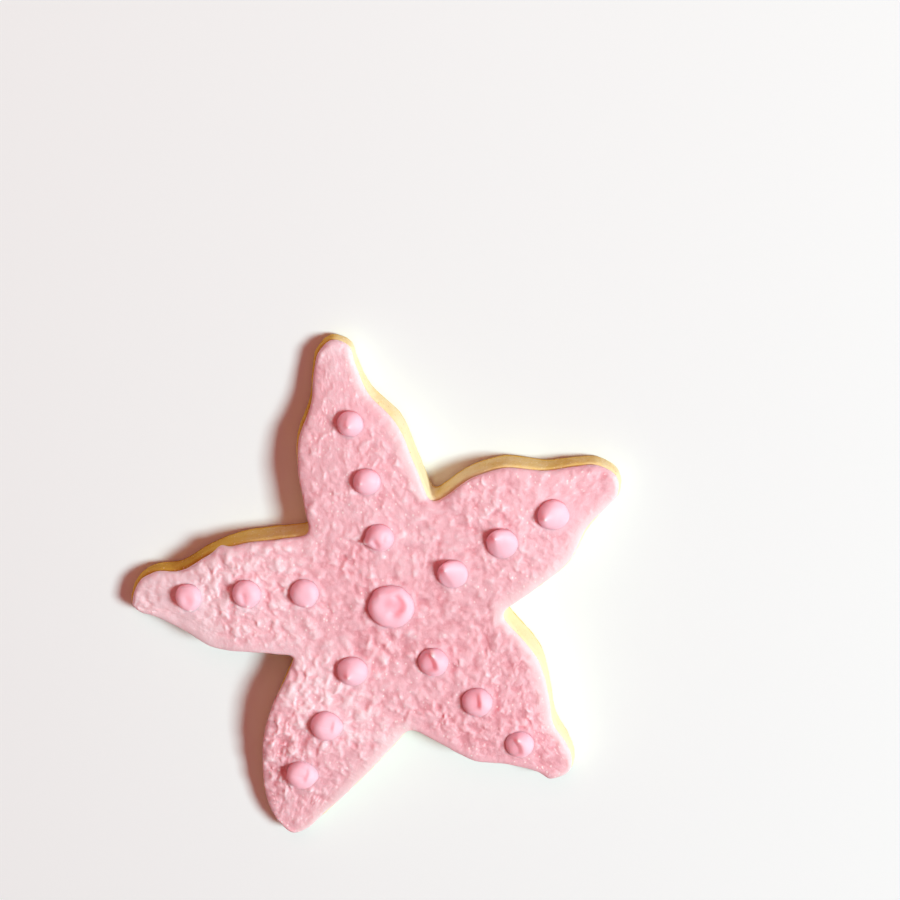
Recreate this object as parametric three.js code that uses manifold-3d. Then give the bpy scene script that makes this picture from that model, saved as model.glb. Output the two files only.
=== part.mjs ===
// An iced sugar cookie: a five-armed star cut from rolled dough, under a skin of dabbed icing
// with a row of piped drops along each arm and a larger drop in the middle.
// Millimetres and degrees, +Z up. It rests on z = 0 with its outline centred on the origin.

import * as THREE from 'three';
import { mergeVertices } from 'three/addons/utils/BufferGeometryUtils.js';
import Module from 'manifold-3d';

const wasm = await Module();
wasm.setup();

// --- The star. Each arm lies between two notches, and the arms go round anticlockwise. ---
// bearing, reach: direction and distance of the arm's tip from the middle.
// notch: bearing and distance of the notch on the arm's right, looking out along it.
// right, left: the arm's width on each side of its line, at the stations below.
// drops: middles of the piped drops. size: their radii.
const ARMS = [
  {
    bearing: 32.5, reach: 54.2, notch: [2, 23],
    right: [10.8, 9.7, 6.1, 4.4, 3.4], left: [16.2, 14.3, 9.2, 6.6, 4.3],
    drops: [[13.2, 9.8], [23, 16.5], [33, 22.2]], size: [3, 3.1, 3.1],
  },
  {
    bearing: 100.5, reach: 57.6, notch: [69.5, 26],
    right: [11.7, 10.1, 5.5, 4, 3.4], left: [11.6, 10.5, 6.6, 4.9, 3.3],
    drops: [[-1.2, 17.4], [-3.5, 29.1], [-6.7, 40.5]], size: [2.8, 2.7, 2.6],
  },
  {
    bearing: 180, reach: 52.4, notch: [131.5, 23],
    right: [15.2, 12.5, 8.6, 7.7, 5.4], left: [8.6, 8.2, 5, 2.8, 2.1],
    drops: [[-16.4, 5.2], [-28, 4.8], [-39.9, 3.3]], size: [2.9, 2.9, 2.7],
  },
  {
    bearing: 248, reach: 56, notch: [206, 20.5],
    right: [13.8, 12.8, 10.6, 7.9, 4.5], left: [10.7, 8.4, 6.2, 4.1, 2.4],
    drops: [[-7.1, -11.7], [-12.7, -24.1], [-18.1, -36]], size: [3.1, 3.2, 3.2],
  },
  {
    bearing: 316, reach: 51.5, notch: [280, 25.5],
    right: [13.2, 11.6, 7.5, 4.9, 4.3], left: [14.7, 10.7, 6.2, 4.5, 2.8],
    drops: [[9.2, -9.4], [18, -18.1], [26.6, -27.9]], size: [3, 3.1, 2.9],
  },
];
const STATIONS = [0.55, 0.68, 0.80, 0.90, 0.965]; // shares of an arm's reach
const NOTCH_ROUNDING = 2.0; // how far from its corner a notch starts to curve
const TIP_ARC = 10.0; // length of the edge on each side of a tip that closes the arm

// --- Dough ---
const MIDDLE_HEIGHT = 7.2;
const HEIGHT_SLOPE = 0.01; // rise towards +X for each millimetre: the dough was rolled unevenly
const TIP_THINNING = 4.0; // how much lower the dough is at the tips
const THINNING_FROM = 28;
const THINNING_TO = 58;
const TOP_EDGE = 0.9; // height of the rounded upper edge
const BOTTOM_EDGE = 0.8; // height of the rounded lower edge

// --- Icing ---
const ICING_SETBACK = 0.4; // bare dough outside the icing
const ICING_THICKNESS = 1.8;
const ICING_RIM = 1.5; // width over which the icing swells up from its edge
const DAB_COUNT = 420;
const DAB_RADIUS = [1.2, 3.2];
const DAB_HEIGHT = 0.55;
const DAB_FIELD = 60; // the dabs fall within this distance of the middle
const DABS_FROM = 0.7; // distance from the edge where the dabs begin to show
const DABS_FULL = 4.0; // distance from the edge where they have their full height

// --- Drops ---
const MIDDLE_DROP = { x: 0.9, y: 2.6, radius: 4.6, height: 3.0, lean: [-0.3, 0.2] };
const DROP_PROFILE = [[0.9, 0], [1, 0.12], [0.97, 0.4], [0.78, 0.68], [0.46, 0.86], [0.2, 0.95], [0, 1]];
// shares of a drop's radius and height, from its foot to its peak
const DROP_HEIGHT = 2.9; // of a small drop above the icing
const DROP_ROOT = 0.6; // how deep a small drop is sunk into the icing
const PEAK_LEAN = 0.3; // how far a small drop's peak stands aside, as a share of its radius
const SEAT_MARGIN = 1.2; // flat icing around the foot of the middle drop

// --- Fineness of the mesh ---
const CURVE_STEPS = 240;
const ALONG = 20; // rows on an arm's side
const ACROSS = 16; // columns across an arm
const RIM_STEPS = 3;
const EDGE_STEPS = 2;
const DROP_SIDES = 14;

const UP = 1;
const DOWN = -1;
const WELD = 1e-4;
const SEED = 20;

const radians = THREE.MathUtils.degToRad;
const lerp = THREE.MathUtils.lerp;
const smoothstep = THREE.MathUtils.smoothstep;

/** A point in the plane z = 0 from a bearing in degrees and a distance. */
function polar(bearing, distance) {
  return new THREE.Vector3(Math.cos(radians(bearing)), Math.sin(radians(bearing)), 0)
    .multiplyScalar(distance);
}

/** Repeatable random numbers from 0 to 1. */
function randomSource(seed) {
  let state = seed;
  return () => {
    state = (state * 1664525 + 1013904223) % 4294967296;
    return state / 4294967296;
  };
}

// ---------------------------------------------------------------- outline

/** Corners of an arm from its right notch round its tip, without the notches themselves. */
function armCorners(arm) {
  const ahead = polar(arm.bearing, 1);
  const aside = new THREE.Vector3(-ahead.y, ahead.x, 0);
  const corner = (share, offset) => ahead.clone()
    .multiplyScalar(share * arm.reach)
    .addScaledVector(aside, offset);
  const right = STATIONS.map((share, i) => corner(share, -arm.right[i]));
  const left = STATIONS.map((share, i) => corner(share, arm.left[i]));
  return [...right, corner(1, 0), ...left.reverse()];
}

/** The point NOTCH_ROUNDING away from a notch's corner, towards another point. */
function leaveNotch(notch, towards) {
  return towards.clone().sub(notch).setLength(NOTCH_ROUNDING).add(notch);
}

/** The edge of each arm as a curve, from the middle of one rounded notch to the next. */
function armCurves() {
  const corners = ARMS.map(armCorners);
  const notches = ARMS.map((arm) => polar(...arm.notch));
  const starts = corners.map((list, i) => leaveNotch(notches[i], list[0]));
  const ends = corners.map((list, i) => leaveNotch(notches[(i + 1) % ARMS.length], list.at(-1)));
  return corners.map((list, i) => {
    const next = (i + 1) % ARMS.length;
    const before = (i + ARMS.length - 1) % ARMS.length;
    const curve = new THREE.CurvePath();
    curve.add(halfNotch(ends[before], notches[i], starts[i], false));
    curve.add(new THREE.CatmullRomCurve3([starts[i], ...list, ends[i]]));
    curve.add(halfNotch(ends[i], notches[next], starts[next], true));
    return curve;
  });
}

/** Half of the quadratic curve that rounds a notch: the half up to its middle, or after it. */
function halfNotch(from, corner, to, first) {
  const middle = from.clone().addScaledVector(corner, 2).add(to).divideScalar(4);
  if (first) {
    return new THREE.QuadraticBezierCurve3(from, from.clone().lerp(corner, 0.5), middle);
  }
  return new THREE.QuadraticBezierCurve3(middle, corner.clone().lerp(to, 0.5), to);
}

/** Points of the whole edge: for each arm its right side, its tip and its left side in turn. */
function cookieEdge() {
  const edge = [];
  armCurves().forEach((curve, i) => {
    const dense = curve.getSpacedPoints(CURVE_STEPS);
    const length = curve.getLength();
    const tip = polar(ARMS[i].bearing, ARMS[i].reach);
    const nearest = dense.reduce((best, point, k) => (
      point.distanceTo(tip) < dense[best].distanceTo(tip) ? k : best), 0);
    const tipAt = nearest / CURVE_STEPS;
    const half = TIP_ARC / length;
    const stretches = [[0, tipAt - half, ALONG], [tipAt - half, tipAt + half, ACROSS],
      [tipAt + half, 1, ALONG]];
    for (const [from, to, count] of stretches) {
      for (let k = 0; k < count; k += 1) {
        edge.push(curve.getPointAt(lerp(from, to, k / count)));
      }
    }
  });
  return edge;
}

/** The edge moved inwards by a distance, point by point along its normals. */
function inset(edge, distance) {
  const count = edge.length;
  return edge.map((point, i) => {
    const along = edge[(i + 1) % count].clone().sub(edge[(i + count - 1) % count]).normalize();
    return new THREE.Vector3(point.x - along.y * distance, point.y + along.x * distance, 0);
  });
}

const dough = cookieEdge();
const icingEdge = inset(dough, ICING_SETBACK);

// ---------------------------------------------------------------- heights

/** Height of the dough's top at a place: level in the middle and lower towards the tips. */
function doughTop(x, y) {
  const out = smoothstep(Math.hypot(x, y), THINNING_FROM, THINNING_TO);
  return MIDDLE_HEIGHT + HEIGHT_SLOPE * x - TIP_THINNING * out;
}

/** Distance from a place to the icing's edge. */
function edgeDistance(x, y) {
  const here = new THREE.Vector3(x, y, 0);
  const stretch = new THREE.Line3();
  const nearest = new THREE.Vector3();
  let best = Infinity;
  icingEdge.forEach((point, i) => {
    const next = icingEdge[(i + 1) % icingEdge.length];
    stretch.start.set(point.x, point.y, 0);
    stretch.end.set(next.x, next.y, 0);
    stretch.closestPointToPoint(here, true, nearest);
    best = Math.min(best, nearest.distanceTo(here));
  });
  return best;
}

/** Dabs left by the palette knife: seeded round lumps and hollows. */
function makeDabs() {
  const random = randomSource(SEED);
  return Array.from({ length: DAB_COUNT }, () => ({
    middle: polar(360 * random(), DAB_FIELD * Math.sqrt(random())),
    radius: lerp(DAB_RADIUS[0], DAB_RADIUS[1], random()),
    height: DAB_HEIGHT * (2 * random() - 1),
  }));
}

const dabs = makeDabs();

/** Lift of the dabbed icing at a place: each dab is a smooth bell that ends at its radius. */
function dabLift(x, y) {
  return dabs.reduce((lift, dab) => {
    const nearness = 1 - Math.hypot(x - dab.middle.x, y - dab.middle.y) / dab.radius;
    return nearness > 0 ? lift + dab.height * smoothstep(nearness, 0, 1) : lift;
  }, 0);
}

/** Height of the icing at a place: a rim like a quarter ellipse, then the dabbed field. */
function icingTop(x, y) {
  const distance = edgeDistance(x, y);
  const climb = Math.min(distance / ICING_RIM, 1);
  const rim = Math.sqrt(1 - (1 - climb) ** 2);
  const seat = MIDDLE_DROP.radius + SEAT_MARGIN;
  const fromSeat = Math.hypot(x - MIDDLE_DROP.x, y - MIDDLE_DROP.y) - seat;
  const dabbed = smoothstep(distance, DABS_FROM, DABS_FULL)
    * smoothstep(fromSeat, 0, SEAT_MARGIN);
  return doughTop(x, y) + ICING_THICKNESS * rim + dabbed * dabLift(x, y);
}

// ---------------------------------------------------------------- skins

/** Triangles of one closed skin, gathered patch by patch and welded at the end. */
class Skin {
  corners = [];

  /** One face, its corners anticlockwise as seen from outside. */
  triangle(a, b, c) {
    for (const point of [a, b, c]) {
      this.corners.push(point.x, point.y, point.z);
    }
  }

  /** Rows of points joined to one surface, which faces up where each row lies left of the last. */
  sheet(rows) {
    for (let i = 1; i < rows.length; i += 1) {
      for (let k = 1; k < rows[i].length; k += 1) {
        const [a, b] = [rows[i - 1][k - 1], rows[i - 1][k]];
        const [c, d] = [rows[i][k], rows[i][k - 1]];
        this.triangle(a, b, c);
        this.triangle(a, c, d);
      }
    }
  }

  /** Closed rings, from the lowest or outermost one on, joined to one wall. */
  wall(rings) {
    this.sheet(rings.map((ring) => [...ring, ring[0]]));
  }

  /** The star's ring filled with rungs across each arm, up to its tip, and a face in the middle. */
  lid(ring, facing) {
    const perArm = 2 * ALONG + ACROSS;
    const at = (i) => ring[i % ring.length];
    const face = (a, b, c) => (facing === UP ? this.triangle(a, b, c) : this.triangle(a, c, b));
    ARMS.forEach((_, arm) => {
      const [start, end] = [arm * perArm, (arm + 1) * perArm];
      for (let k = 0; k < perArm / 2; k += 1) {
        face(at(start + k), at(start + k + 1), at(end - k));
        face(at(start + k + 1), at(end - k - 1), at(end - k));
      }
    });
    for (let arm = 2; arm < ARMS.length; arm += 1) {
      face(at(0), at((arm - 1) * perArm), at(arm * perArm));
    }
  }

  /** The gathered faces as one closed geometry. */
  geometry() {
    const geometry = new THREE.BufferGeometry();
    geometry.setAttribute('position', new THREE.Float32BufferAttribute(this.corners, 3));
    return weld(geometry);
  }
}

/** The geometry with equal corners made one and the triangles that this closes left out. */
function weld(geometry) {
  geometry.deleteAttribute('normal');
  geometry.deleteAttribute('uv');
  const merged = mergeVertices(geometry, WELD);
  const kept = [];
  for (let i = 0; i < merged.index.count; i += 3) {
    const [a, b, c] = [0, 1, 2].map((k) => merged.index.getX(i + k));
    if (a !== b && b !== c && c !== a) {
      kept.push(a, b, c);
    }
  }
  merged.setIndex(kept);
  return merged;
}

/** Points of the plane lifted to the height that a function or a number gives. */
function lift(points, height) {
  return points.map(({ x, y }) => (
    new THREE.Vector3(x, y, typeof height === 'number' ? height : height(x, y))));
}

/** Angles from nothing to a right angle in equal steps. */
function quarterTurn(steps) {
  return Array.from({ length: steps + 1 }, (_, i) => (i / steps) * (Math.PI / 2));
}

// ---------------------------------------------------------------- dough

/** The slab of dough: a rounded lower edge, an upright wall and a rounded upper edge. */
function doughGeometry() {
  const lower = quarterTurn(EDGE_STEPS).map((turn) => lift(
    inset(dough, BOTTOM_EDGE * (1 - Math.sin(turn))), BOTTOM_EDGE * (1 - Math.cos(turn))));
  const upper = quarterTurn(EDGE_STEPS).map((turn) => lift(
    inset(dough, ICING_SETBACK * (1 - Math.cos(turn))),
    (x, y) => doughTop(x, y) - TOP_EDGE * (1 - Math.sin(turn))));
  const rings = [...lower, ...upper];
  const skin = new Skin();
  skin.lid(rings[0], DOWN);
  skin.wall(rings);
  skin.lid(rings.at(-1), UP);
  return skin.geometry();
}

// ---------------------------------------------------------------- icing

/** A net of points between four lines that share their ends, blended from all four. */
function blend(bottom, top, left, right) {
  const rows = left.length - 1;
  const columns = bottom.length - 1;
  return left.map((start, i) => bottom.map((foot, k) => {
    const [v, u] = [i / rows, k / columns];
    const mix = (axis) => (
      (1 - v) * foot[axis] + v * top[k][axis]
      + (1 - u) * start[axis] + u * right[i][axis]
      - (1 - u) * lerp(left[0][axis], left[rows][axis], v)
      - u * lerp(right[0][axis], right[rows][axis], v));
    return new THREE.Vector3(mix('x'), mix('y'), 0);
  }));
}

/** Points on the straight line from one point to another. */
function straight(from, to, count) {
  return Array.from({ length: count + 1 }, (_, i) => from.clone().lerp(to, i / count));
}

/** The field inside a ring of edge points: a patch for each arm and one at each notch. */
function fieldPatches(ring) {
  const perArm = 2 * ALONG + ACROSS;
  const at = (i) => ring[i % ring.length];
  const run = (from, count) => Array.from({ length: count + 1 }, (_, i) => at(from + i));
  const middle = new THREE.Vector3(0, 0, 0);
  const half = ACROSS / 2;
  const patches = [];
  ARMS.forEach((_, arm) => {
    const notch = arm * perArm;
    const tipArc = notch + ALONG;
    const nextNotch = notch + perArm;
    const base = straight(at(nextNotch), at(notch), ACROSS);
    patches.push(blend(base, run(tipArc, ACROSS).reverse(),
      run(tipArc + ACROSS, ALONG).reverse(), run(notch, ALONG)));
    const before = at(notch + ring.length - perArm).clone().lerp(at(notch), 0.5);
    const after = at(notch).clone().lerp(at(nextNotch), 0.5);
    patches.push(blend(straight(middle, before, half), straight(after, at(notch), half),
      straight(middle, after, half), straight(before, at(notch), half)));
  });
  return patches;
}

/** The icing alone: its underside on the dough, its swelling rim and its dabbed field. */
function icingSkin() {
  const rings = quarterTurn(RIM_STEPS).map((turn) => (
    inset(icingEdge, ICING_RIM * (1 - Math.cos(turn)))));
  const foot = lift(icingEdge, doughTop);
  const skin = new Skin();
  skin.lid(foot, DOWN);
  skin.wall([foot, ...rings.slice(1).map((ring) => lift(ring, icingTop))]);
  for (const patch of fieldPatches(rings.at(-1))) {
    skin.sheet(patch.map((row) => lift(row, icingTop)));
  }
  return skin.geometry();
}

// ---------------------------------------------------------------- drops

/** A piped drop: a squat bulb drawn up to a soft peak, which leans aside. */
function dropGeometry(radius, height, root, lean) {
  const bulb = DROP_PROFILE.map(([out, up]) => new THREE.Vector2(out * radius, up * height));
  const foot = new THREE.Vector2(bulb[0].x, -root);
  const sunk = root > 0 ? [foot] : [];
  const geometry = new THREE.LatheGeometry([new THREE.Vector2(0, -root), ...sunk, ...bulb], DROP_SIDES);
  geometry.rotateX(Math.PI / 2);
  const place = geometry.getAttribute('position');
  for (let i = 0; i < place.count; i += 1) {
    const climb = Math.max(place.getZ(i) / height, 0) ** 2;
    place.setX(i, place.getX(i) + lean[0] * radius * climb);
    place.setY(i, place.getY(i) + lean[1] * radius * climb);
  }
  return weld(geometry);
}

/** The small drops, each standing in the icing, with peaks that lean each its own way. */
function smallDrops() {
  const random = randomSource(SEED + 1);
  return ARMS.flatMap((arm) => arm.drops.map(([x, y], i) => {
    const aim = 2 * Math.PI * random();
    const lean = [PEAK_LEAN * Math.cos(aim), PEAK_LEAN * Math.sin(aim)];
    const geometry = dropGeometry(arm.size[i], DROP_HEIGHT, DROP_ROOT, lean);
    return geometry.translate(x, y, doughTop(x, y) + ICING_THICKNESS);
  }));
}

/** The middle drop, whose flat foot lies on the icing's level seat. */
function middleDropGeometry() {
  const { x, y, radius, height, lean } = MIDDLE_DROP;
  const geometry = dropGeometry(radius, height, 0, lean);
  const place = geometry.getAttribute('position');
  for (let i = 0; i < place.count; i += 1) {
    place.setZ(i, place.getZ(i) + HEIGHT_SLOPE * place.getX(i));
  }
  return geometry.translate(x, y, doughTop(x, y) + ICING_THICKNESS);
}

// ---------------------------------------------------------------- joining

/** A welded geometry as a solid that can be joined to others. */
function toSolid(geometry) {
  return new wasm.Manifold(new wasm.Mesh({
    numProp: 3,
    vertProperties: new Float32Array(geometry.getAttribute('position').array),
    triVerts: new Uint32Array(geometry.index.array),
  }));
}

/** A joined solid back as a geometry. */
function fromSolid(solid) {
  const mesh = solid.getMesh();
  const geometry = new THREE.BufferGeometry();
  geometry.setAttribute('position', new THREE.BufferAttribute(mesh.vertProperties, 3));
  geometry.setIndex(new THREE.BufferAttribute(mesh.triVerts, 1));
  return geometry;
}

/** The icing with its small drops fused on. */
function icingGeometry() {
  const solids = smallDrops().map(toSolid);
  return fromSolid(solids.reduce((joined, drop) => joined.add(drop), toSolid(icingSkin())));
}

/** A named piece of the cookie with its finish. */
function piece(name, geometry, finish) {
  const mesh = new THREE.Mesh(geometry, new THREE.MeshStandardMaterial(finish));
  mesh.name = name;
  geometry.computeVertexNormals();
  return mesh;
}

// ---------------------------------------------------------------- cookie

const cookie = new THREE.Group();
cookie.add(piece('biscuit', doughGeometry(), { color: 0xe6cf96, roughness: 0.9, metalness: 0 }));
cookie.add(piece('icing', icingGeometry(), { color: 0xefb1b6, roughness: 0.7, metalness: 0 }));
cookie.add(piece('middle_drop', middleDropGeometry(),
  { color: 0xf4bdc8, roughness: 0.6, metalness: 0 }));

const centre = new THREE.Box3().setFromPoints(dough).getCenter(new THREE.Vector3());
cookie.position.copy(centre).negate();

export default cookie;
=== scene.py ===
"""An iced sugar cookie: baked dough, a skin of dabbed icing and a row of piped drops on each arm.

Sizes are in millimetres and angles in degrees. A mesh turns them into metres when it is made.
The cookie's outline is worked out from the widths of its arms, and every piece follows it.
"""
import logging
from collections.abc import Mapping, Sequence
from dataclasses import dataclass, field
from enum import Enum

import bpy
import numpy as np
from mathutils import Matrix, Vector


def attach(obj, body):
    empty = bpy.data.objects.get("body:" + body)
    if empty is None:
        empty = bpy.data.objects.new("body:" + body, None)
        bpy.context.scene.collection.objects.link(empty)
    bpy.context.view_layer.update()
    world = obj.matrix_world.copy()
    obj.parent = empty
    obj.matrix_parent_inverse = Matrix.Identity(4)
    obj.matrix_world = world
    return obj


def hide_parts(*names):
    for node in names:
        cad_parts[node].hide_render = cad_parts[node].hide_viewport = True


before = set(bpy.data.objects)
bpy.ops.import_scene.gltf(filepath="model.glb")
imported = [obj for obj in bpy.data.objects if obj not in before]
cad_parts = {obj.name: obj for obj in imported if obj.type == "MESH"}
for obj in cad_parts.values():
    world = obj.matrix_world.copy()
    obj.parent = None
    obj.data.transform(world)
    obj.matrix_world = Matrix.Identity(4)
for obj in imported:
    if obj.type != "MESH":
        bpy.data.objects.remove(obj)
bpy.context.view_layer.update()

Array = np.ndarray
Place = tuple[float, float]
Span = tuple[float, float]
Triple = tuple[float, float, float]
Colour = Triple

log = logging.getLogger("cookie")

MM = 0.001
BODY = "root"
ICING_THICKNESS = 1.8


# ------------------------------------------------------------------ sizes

@dataclass(frozen=True)
class Arm:
    """One arm of the star, seen looking out along it.

    bearing and reach place its tip, notch is the bearing and distance of the notch on its right,
    and right and left are its widths at the stations of the cutter's edge.
    """

    bearing: float
    reach: float
    notch: Place
    right: tuple[float, ...]
    left: tuple[float, ...]


ARMS = (
    Arm(32.5, 54.2, (2, 23), (10.8, 9.7, 6.1, 4.4, 3.4), (16.2, 14.3, 9.2, 6.6, 4.3)),
    Arm(100.5, 57.6, (69.5, 26), (11.7, 10.1, 5.5, 4, 3.4), (11.6, 10.5, 6.6, 4.9, 3.3)),
    Arm(180, 52.4, (131.5, 23), (15.2, 12.5, 8.6, 7.7, 5.4), (8.6, 8.2, 5, 2.8, 2.1)),
    Arm(248, 56, (206, 20.5), (13.8, 12.8, 10.6, 7.9, 4.5), (10.7, 8.4, 6.2, 4.1, 2.4)),
    Arm(316, 51.5, (280, 25.5), (13.2, 11.6, 7.5, 4.9, 4.3), (14.7, 10.7, 6.2, 4.5, 2.8)),
)


# ------------------------------------------------------------------ plane geometry

def polar(bearing: float, distance: float) -> Array:
    """The point of the plane at a bearing in degrees and a distance."""
    turn = np.radians(bearing)
    return distance * np.array([np.cos(turn), np.sin(turn)])


CURVE_SPANS = (((0, 1), (1, 2), (2, 3)), ((0, 2), (1, 3)), ((1, 2),))


def smooth_curve(corners: Array, steps: int) -> Array:
    """A centripetal Catmull-Rom curve: a smooth line through all corners.

    Between two corners it blends three straight runs, each weighted by the square roots of the
    distances between neighbouring corners.

    Args:
        corners: the points to pass through, one row each.
        steps: points on each stretch between two corners.

    Returns:
        The points of the curve, one row each.
    """
    ends = (2 * corners[0] - corners[1], 2 * corners[-1] - corners[-2])
    chain = np.vstack([ends[0], corners, ends[1]])
    parts = []
    for first in range(len(chain) - 3):
        p = chain[first:first + 4]
        knots = np.concatenate([[0], np.cumsum(np.linalg.norm(np.diff(p, axis=0), axis=1) ** 0.5)])
        t = np.linspace(knots[1], knots[2], steps, endpoint=False)[:, None]
        runs = list(p)
        for spans in CURVE_SPANS:
            runs = [
                ((knots[b] - t) * runs[i] + (t - knots[a]) * runs[i + 1]) / (knots[b] - knots[a])
                for i, (a, b) in enumerate(spans)
            ]
        parts.append(runs[0])
    return np.vstack([*parts, corners[-1]])


def lengths_along(line: Array) -> Array:
    """The distance along a line of points from its first point to each one."""
    return np.concatenate([[0], np.cumsum(np.linalg.norm(np.diff(line, axis=0), axis=1))])


def points_at(line: Array, at: Array) -> Array:
    """The points of a line at the given distances along it."""
    along = lengths_along(line)
    return np.column_stack([np.interp(at, along, line[:, axis]) for axis in (0, 1)])


def inwards(loop: Array) -> Array:
    """Unit vectors that point inwards at each point of an anticlockwise loop.

    Args:
        loop: the points of the loop, one row each.

    Returns:
        One vector for each point, square to the line between its neighbours.
    """
    along = np.roll(loop, -1, axis=0) - np.roll(loop, 1, axis=0)
    along /= np.linalg.norm(along, axis=1)[:, None]
    return np.column_stack([-along[:, 1], along[:, 0]])


def ease(value: Array, start: float, end: float) -> Array:
    """Smooth step: nothing before start, one after end, and 3t^2 - 2t^3 in between."""
    t = np.clip((value - start) / (end - start), 0, 1)
    return t * t * (3 - 2 * t)


def bell(places: Array, middle: Place | Array, reach: float) -> Array:
    """A bell e^(-d^2/reach^2) of the distance d from a middle."""
    return np.exp(-((places - np.array(middle)) ** 2).sum(axis=-1) / reach ** 2)


@dataclass(frozen=True)
class Spot:
    """A spot of the plane where something is more or less than elsewhere."""

    place: Place
    reach: float
    gain: float = 1.0

    def at(self, places: Array) -> Array:
        """The gain times a bell round the spot's place."""
        return self.gain * bell(places, self.place, self.reach)


@dataclass(frozen=True)
class CutterEdge:
    """The outline of the cutter: five arms between rounded notches.

    Each arm gives `along` points on its right side, `across` round its tip and `along` on its
    left side, so that a net can be laid between them.
    """

    along: int
    across: int
    arms: tuple[Arm, ...] = ARMS
    stations: tuple[float, ...] = (0.55, 0.68, 0.80, 0.90, 0.965)
    notch_rounding: float = 2.0
    tip_arc: float = 10.0
    steps: int = 60

    def corners(self, arm: Arm) -> Array:
        """The points that an arm's edge passes through, from its right side round to its left.

        Args:
            arm: the arm.

        Returns:
            The points, one row each, with the arm's tip in the middle.
        """
        ahead = polar(arm.bearing, 1)
        aside = np.array([-ahead[1], ahead[0]])
        shares = arm.reach * np.array(self.stations)[:, None] * ahead
        right = shares - np.array(arm.right)[:, None] * aside
        left = shares + np.array(arm.left)[:, None] * aside
        return np.vstack([right, arm.reach * ahead, left[::-1]])

    def arm_line(self, index: int) -> Array:
        """An arm's edge from the middle of one rounded notch to the middle of the next.

        Args:
            index: which of the arms it is.

        Returns:
            The points of the edge, one row each.
        """
        count = len(self.arms)
        chains = [self.corners(arm) for arm in self.arms]
        notches = [polar(*arm.notch) for arm in self.arms]
        after = (index + 1) % count
        first = self.leave(notches[index], chains[index][0])
        last = self.leave(notches[after], chains[index][-1])
        before_end = self.leave(notches[index], chains[index - 1][-1])
        after_start = self.leave(notches[after], chains[after][0])
        curve = smooth_curve(np.vstack([first, chains[index], last]), self.steps)
        opening = self.rounding(before_end, notches[index], first)[self.steps // 2:]
        closing = self.rounding(last, notches[after], after_start)[:self.steps // 2 + 1]
        return np.vstack([opening[:-1], curve, closing[1:]])

    def leave(self, notch: Array, towards: Array) -> Array:
        """The point where the edge leaves a notch's rounding, on the way to another point."""
        way = towards - notch
        return notch + self.notch_rounding * way / np.linalg.norm(way)

    def rounding(self, start: Array, corner: Array, end: Array) -> Array:
        """A quadratic curve from start to end that is drawn towards a corner."""
        t = np.linspace(0, 1, self.steps + 1)[:, None]
        return (1 - t) ** 2 * start + 2 * t * (1 - t) * corner + t ** 2 * end

    def loop(self) -> Array:
        """The whole edge as one anticlockwise loop of points, one row each.

        Returns:
            For each arm in turn, the points of its right side, its tip and its left side.
        """
        parts = []
        for index, arm in enumerate(self.arms):
            line = self.arm_line(index)
            along = lengths_along(line)
            tip = along[np.linalg.norm(line - polar(arm.bearing, arm.reach), axis=1).argmin()]
            marks = (0, tip - self.tip_arc, tip + self.tip_arc, along[-1])
            counts = (self.along, self.across, self.along)
            at = [np.linspace(a, b, n, endpoint=False) for a, b, n in zip(marks, marks[1:], counts)]
            parts.append(points_at(line, np.concatenate(at)))
        return np.vstack(parts)


def star_middle() -> Array:
    """Where the middle of the star's outline box lies, seen from where its arms meet."""
    loop = CutterEdge(along=40, across=32).loop()
    return (loop.min(axis=0) + loop.max(axis=0)) / 2


MIDDLE = star_middle()


def net_between(bottom: Array, top: Array, left: Array, right: Array, hold: int = 1) -> Array:
    """A net of points between four lines that share their ends.

    Each row is the straight line between the left and right lines, plus the bow of the bottom
    line, which fades out up the net, plus the bow of the top line, which sets in as the height
    up the net to the power `hold`.

    Args:
        bottom: the first row of the net.
        top: its last row.
        left: its first column.
        right: its last column.
        hold: how long the rows stay clear of the top line's bow.

    Returns:
        An array of rows and columns of points, whose outermost ones are those of the four lines.
    """
    v = np.linspace(0, 1, len(left))[:, None, None] ** hold
    u = np.linspace(0, 1, len(bottom))[None, :, None]
    across = (1 - u) * left[:, None] + u * right[:, None]
    bows = [line - ((1 - u) * line[0] + u * line[-1]) for line in (bottom, top)]
    net = across + (1 - v) * bows[0] + v * bows[1]
    net[0], net[-1], net[:, 0], net[:, -1] = bottom, top, left, right
    return net


TIP_HOLD = 5


def star_nets(ring: Array, edge: CutterEdge) -> list[Array]:
    """Nets that fill a ring laid out like the cutter's edge: one for each arm and each notch.

    Args:
        ring: the points of the ring, in the cutter edge's layout.
        edge: the cutter's edge that gave the layout.

    Returns:
        Nets of points whose shared lines hold the very same points.
    """
    share = 2 * edge.along + edge.across
    half = edge.across // 2
    closed = np.vstack([ring, ring[:share + 1]])
    steps = np.linspace(0, 1, edge.across + 1)[:, None]
    bases, spokes, nets = [], [], []
    for arm in range(len(edge.arms)):
        notch, after = closed[arm * share], closed[(arm + 1) * share]
        bases.append(after + steps * (notch - after))
        spokes.append(steps[::2] * bases[-1][half])
    for arm, base in enumerate(bases):
        start = arm * share
        tip, back = start + edge.along, start + edge.along + edge.across
        nets.append(net_between(base, closed[tip:back + 1][::-1], closed[back:start + share + 1][::-1],
                                closed[start:tip + 1], TIP_HOLD))
        nets.append(net_between(spokes[arm - 1], base[half:], spokes[arm],
                                bases[arm - 1][:half + 1][::-1]))
    return nets


# ------------------------------------------------------------------ roughness of food

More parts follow.
